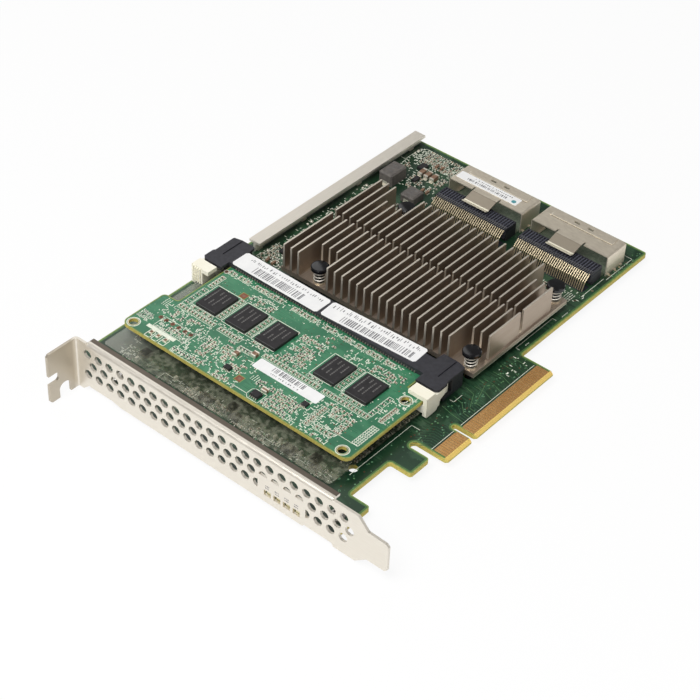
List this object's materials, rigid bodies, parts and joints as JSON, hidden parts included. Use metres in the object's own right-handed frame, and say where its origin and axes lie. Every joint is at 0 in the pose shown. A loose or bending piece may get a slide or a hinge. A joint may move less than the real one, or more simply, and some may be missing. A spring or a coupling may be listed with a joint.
{
  "type": "raid controller card",
  "caption": "Flat storage controller card with slot bracket, finned heatsink, latched cache module and cable sockets at the far edge.",
  "frame": {"origin": "centre of the card's bounding box in plan, at the height of its lowest points (screw tab edge and pin barbs)", "axes": "+X from the slot bracket to the cable sockets, +Y from the edge contacts to the stiffener rail, +Z out of the component face"},
  "size_m": [0.179, 0.1262, 0.0184],
  "materials": {
    "board_green": "solder mask over laminate",
    "module_green": "solder mask over laminate",
    "gold_contact": "gold plated",
    "bracket_steel": "satin plated sheet",
    "fixing_steel": "plated",
    "rail_steel": "tinned sheet",
    "sink_metal": "dull nickel-brown",
    "chip_black": "moulded epoxy",
    "socket_black": "moulded, satin",
    "thermal_grey": "soft pad",
    "pin_plastic": "moulded nylon",
    "latch_ivory": "moulded, ivory",
    "film_clear": "clear grey film",
    "ferrite_grey": "pressed ferrite",
    "ceramic_tan": "fired ceramic",
    "label_white": "printed paper",
    "cage_steel": "bright tinned sheet",
    "led_clear": "moulded lens"
  },
  "bodies": {
    "card": {"board_chips": "chip_black", "board_passives": "ceramic_tan", "bracket_screws": "fixing_steel", "cache_board": "module_green", "cage_label": "label_white", "ceramic_capacitors": "ceramic_tan", "controller_chip": "chip_black", "edge_contacts": "gold_contact", "film_support_chips": "chip_black", "heatsink": "sink_metal", "inductor_large": "ferrite_grey", "inductor_small": "ferrite_grey", "insulating_film": "film_clear", "latch_pins": "fixing_steel", "main_board": "board_green", "memory_chip_top_1": "chip_black", "memory_chip_top_2": "chip_black", "memory_chip_top_3": "chip_black", "memory_chip_top_4": "chip_black", "memory_chip_top_5": "chip_black", "memory_chip_under_1": "chip_black", "memory_chip_under_2": "chip_black", "memory_chip_under_3": "chip_black", "memory_chip_under_4": "chip_black", "module_capacitors": "ceramic_tan", "module_chips": "chip_black", "module_label": "label_white", "module_socket": "socket_black", "pin_sleeves": "fixing_steel", "pin_springs": "fixing_steel", "push_pins": "pin_plastic", "sas_cage_lower": "cage_steel", "sas_cage_upper": "cage_steel", "sas_housing_lower": "socket_black", "sas_housing_upper": "socket_black", "sas_leads_lower": "gold_contact", "sas_leads_upper": "gold_contact", "slot_bracket": "bracket_steel", "socket_contacts": "gold_contact", "socket_label_lower": "label_white", "socket_label_upper": "label_white", "status_leds": "led_clear", "stiffener_rail": "rail_steel", "thermal_pad": "thermal_grey"},
    "right_latch": {"latch_right": "latch_ivory"},
    "left_latch": {"latch_left": "latch_ivory"}
  },
  "joints": [
    {"name": "right_latch_swing", "type": "hinge", "parent": "card", "child": "right_latch", "pos_m": [-0.01086, -0.02937, 0.0077], "axis": [0, 0, 1], "range_deg": [0, 40]},
    {"name": "left_latch_swing", "type": "hinge", "parent": "card", "child": "left_latch", "pos_m": [-0.01086, 0.05892, 0.0077], "axis": [0, 0, -1], "range_deg": [0, 40]}
  ]
}
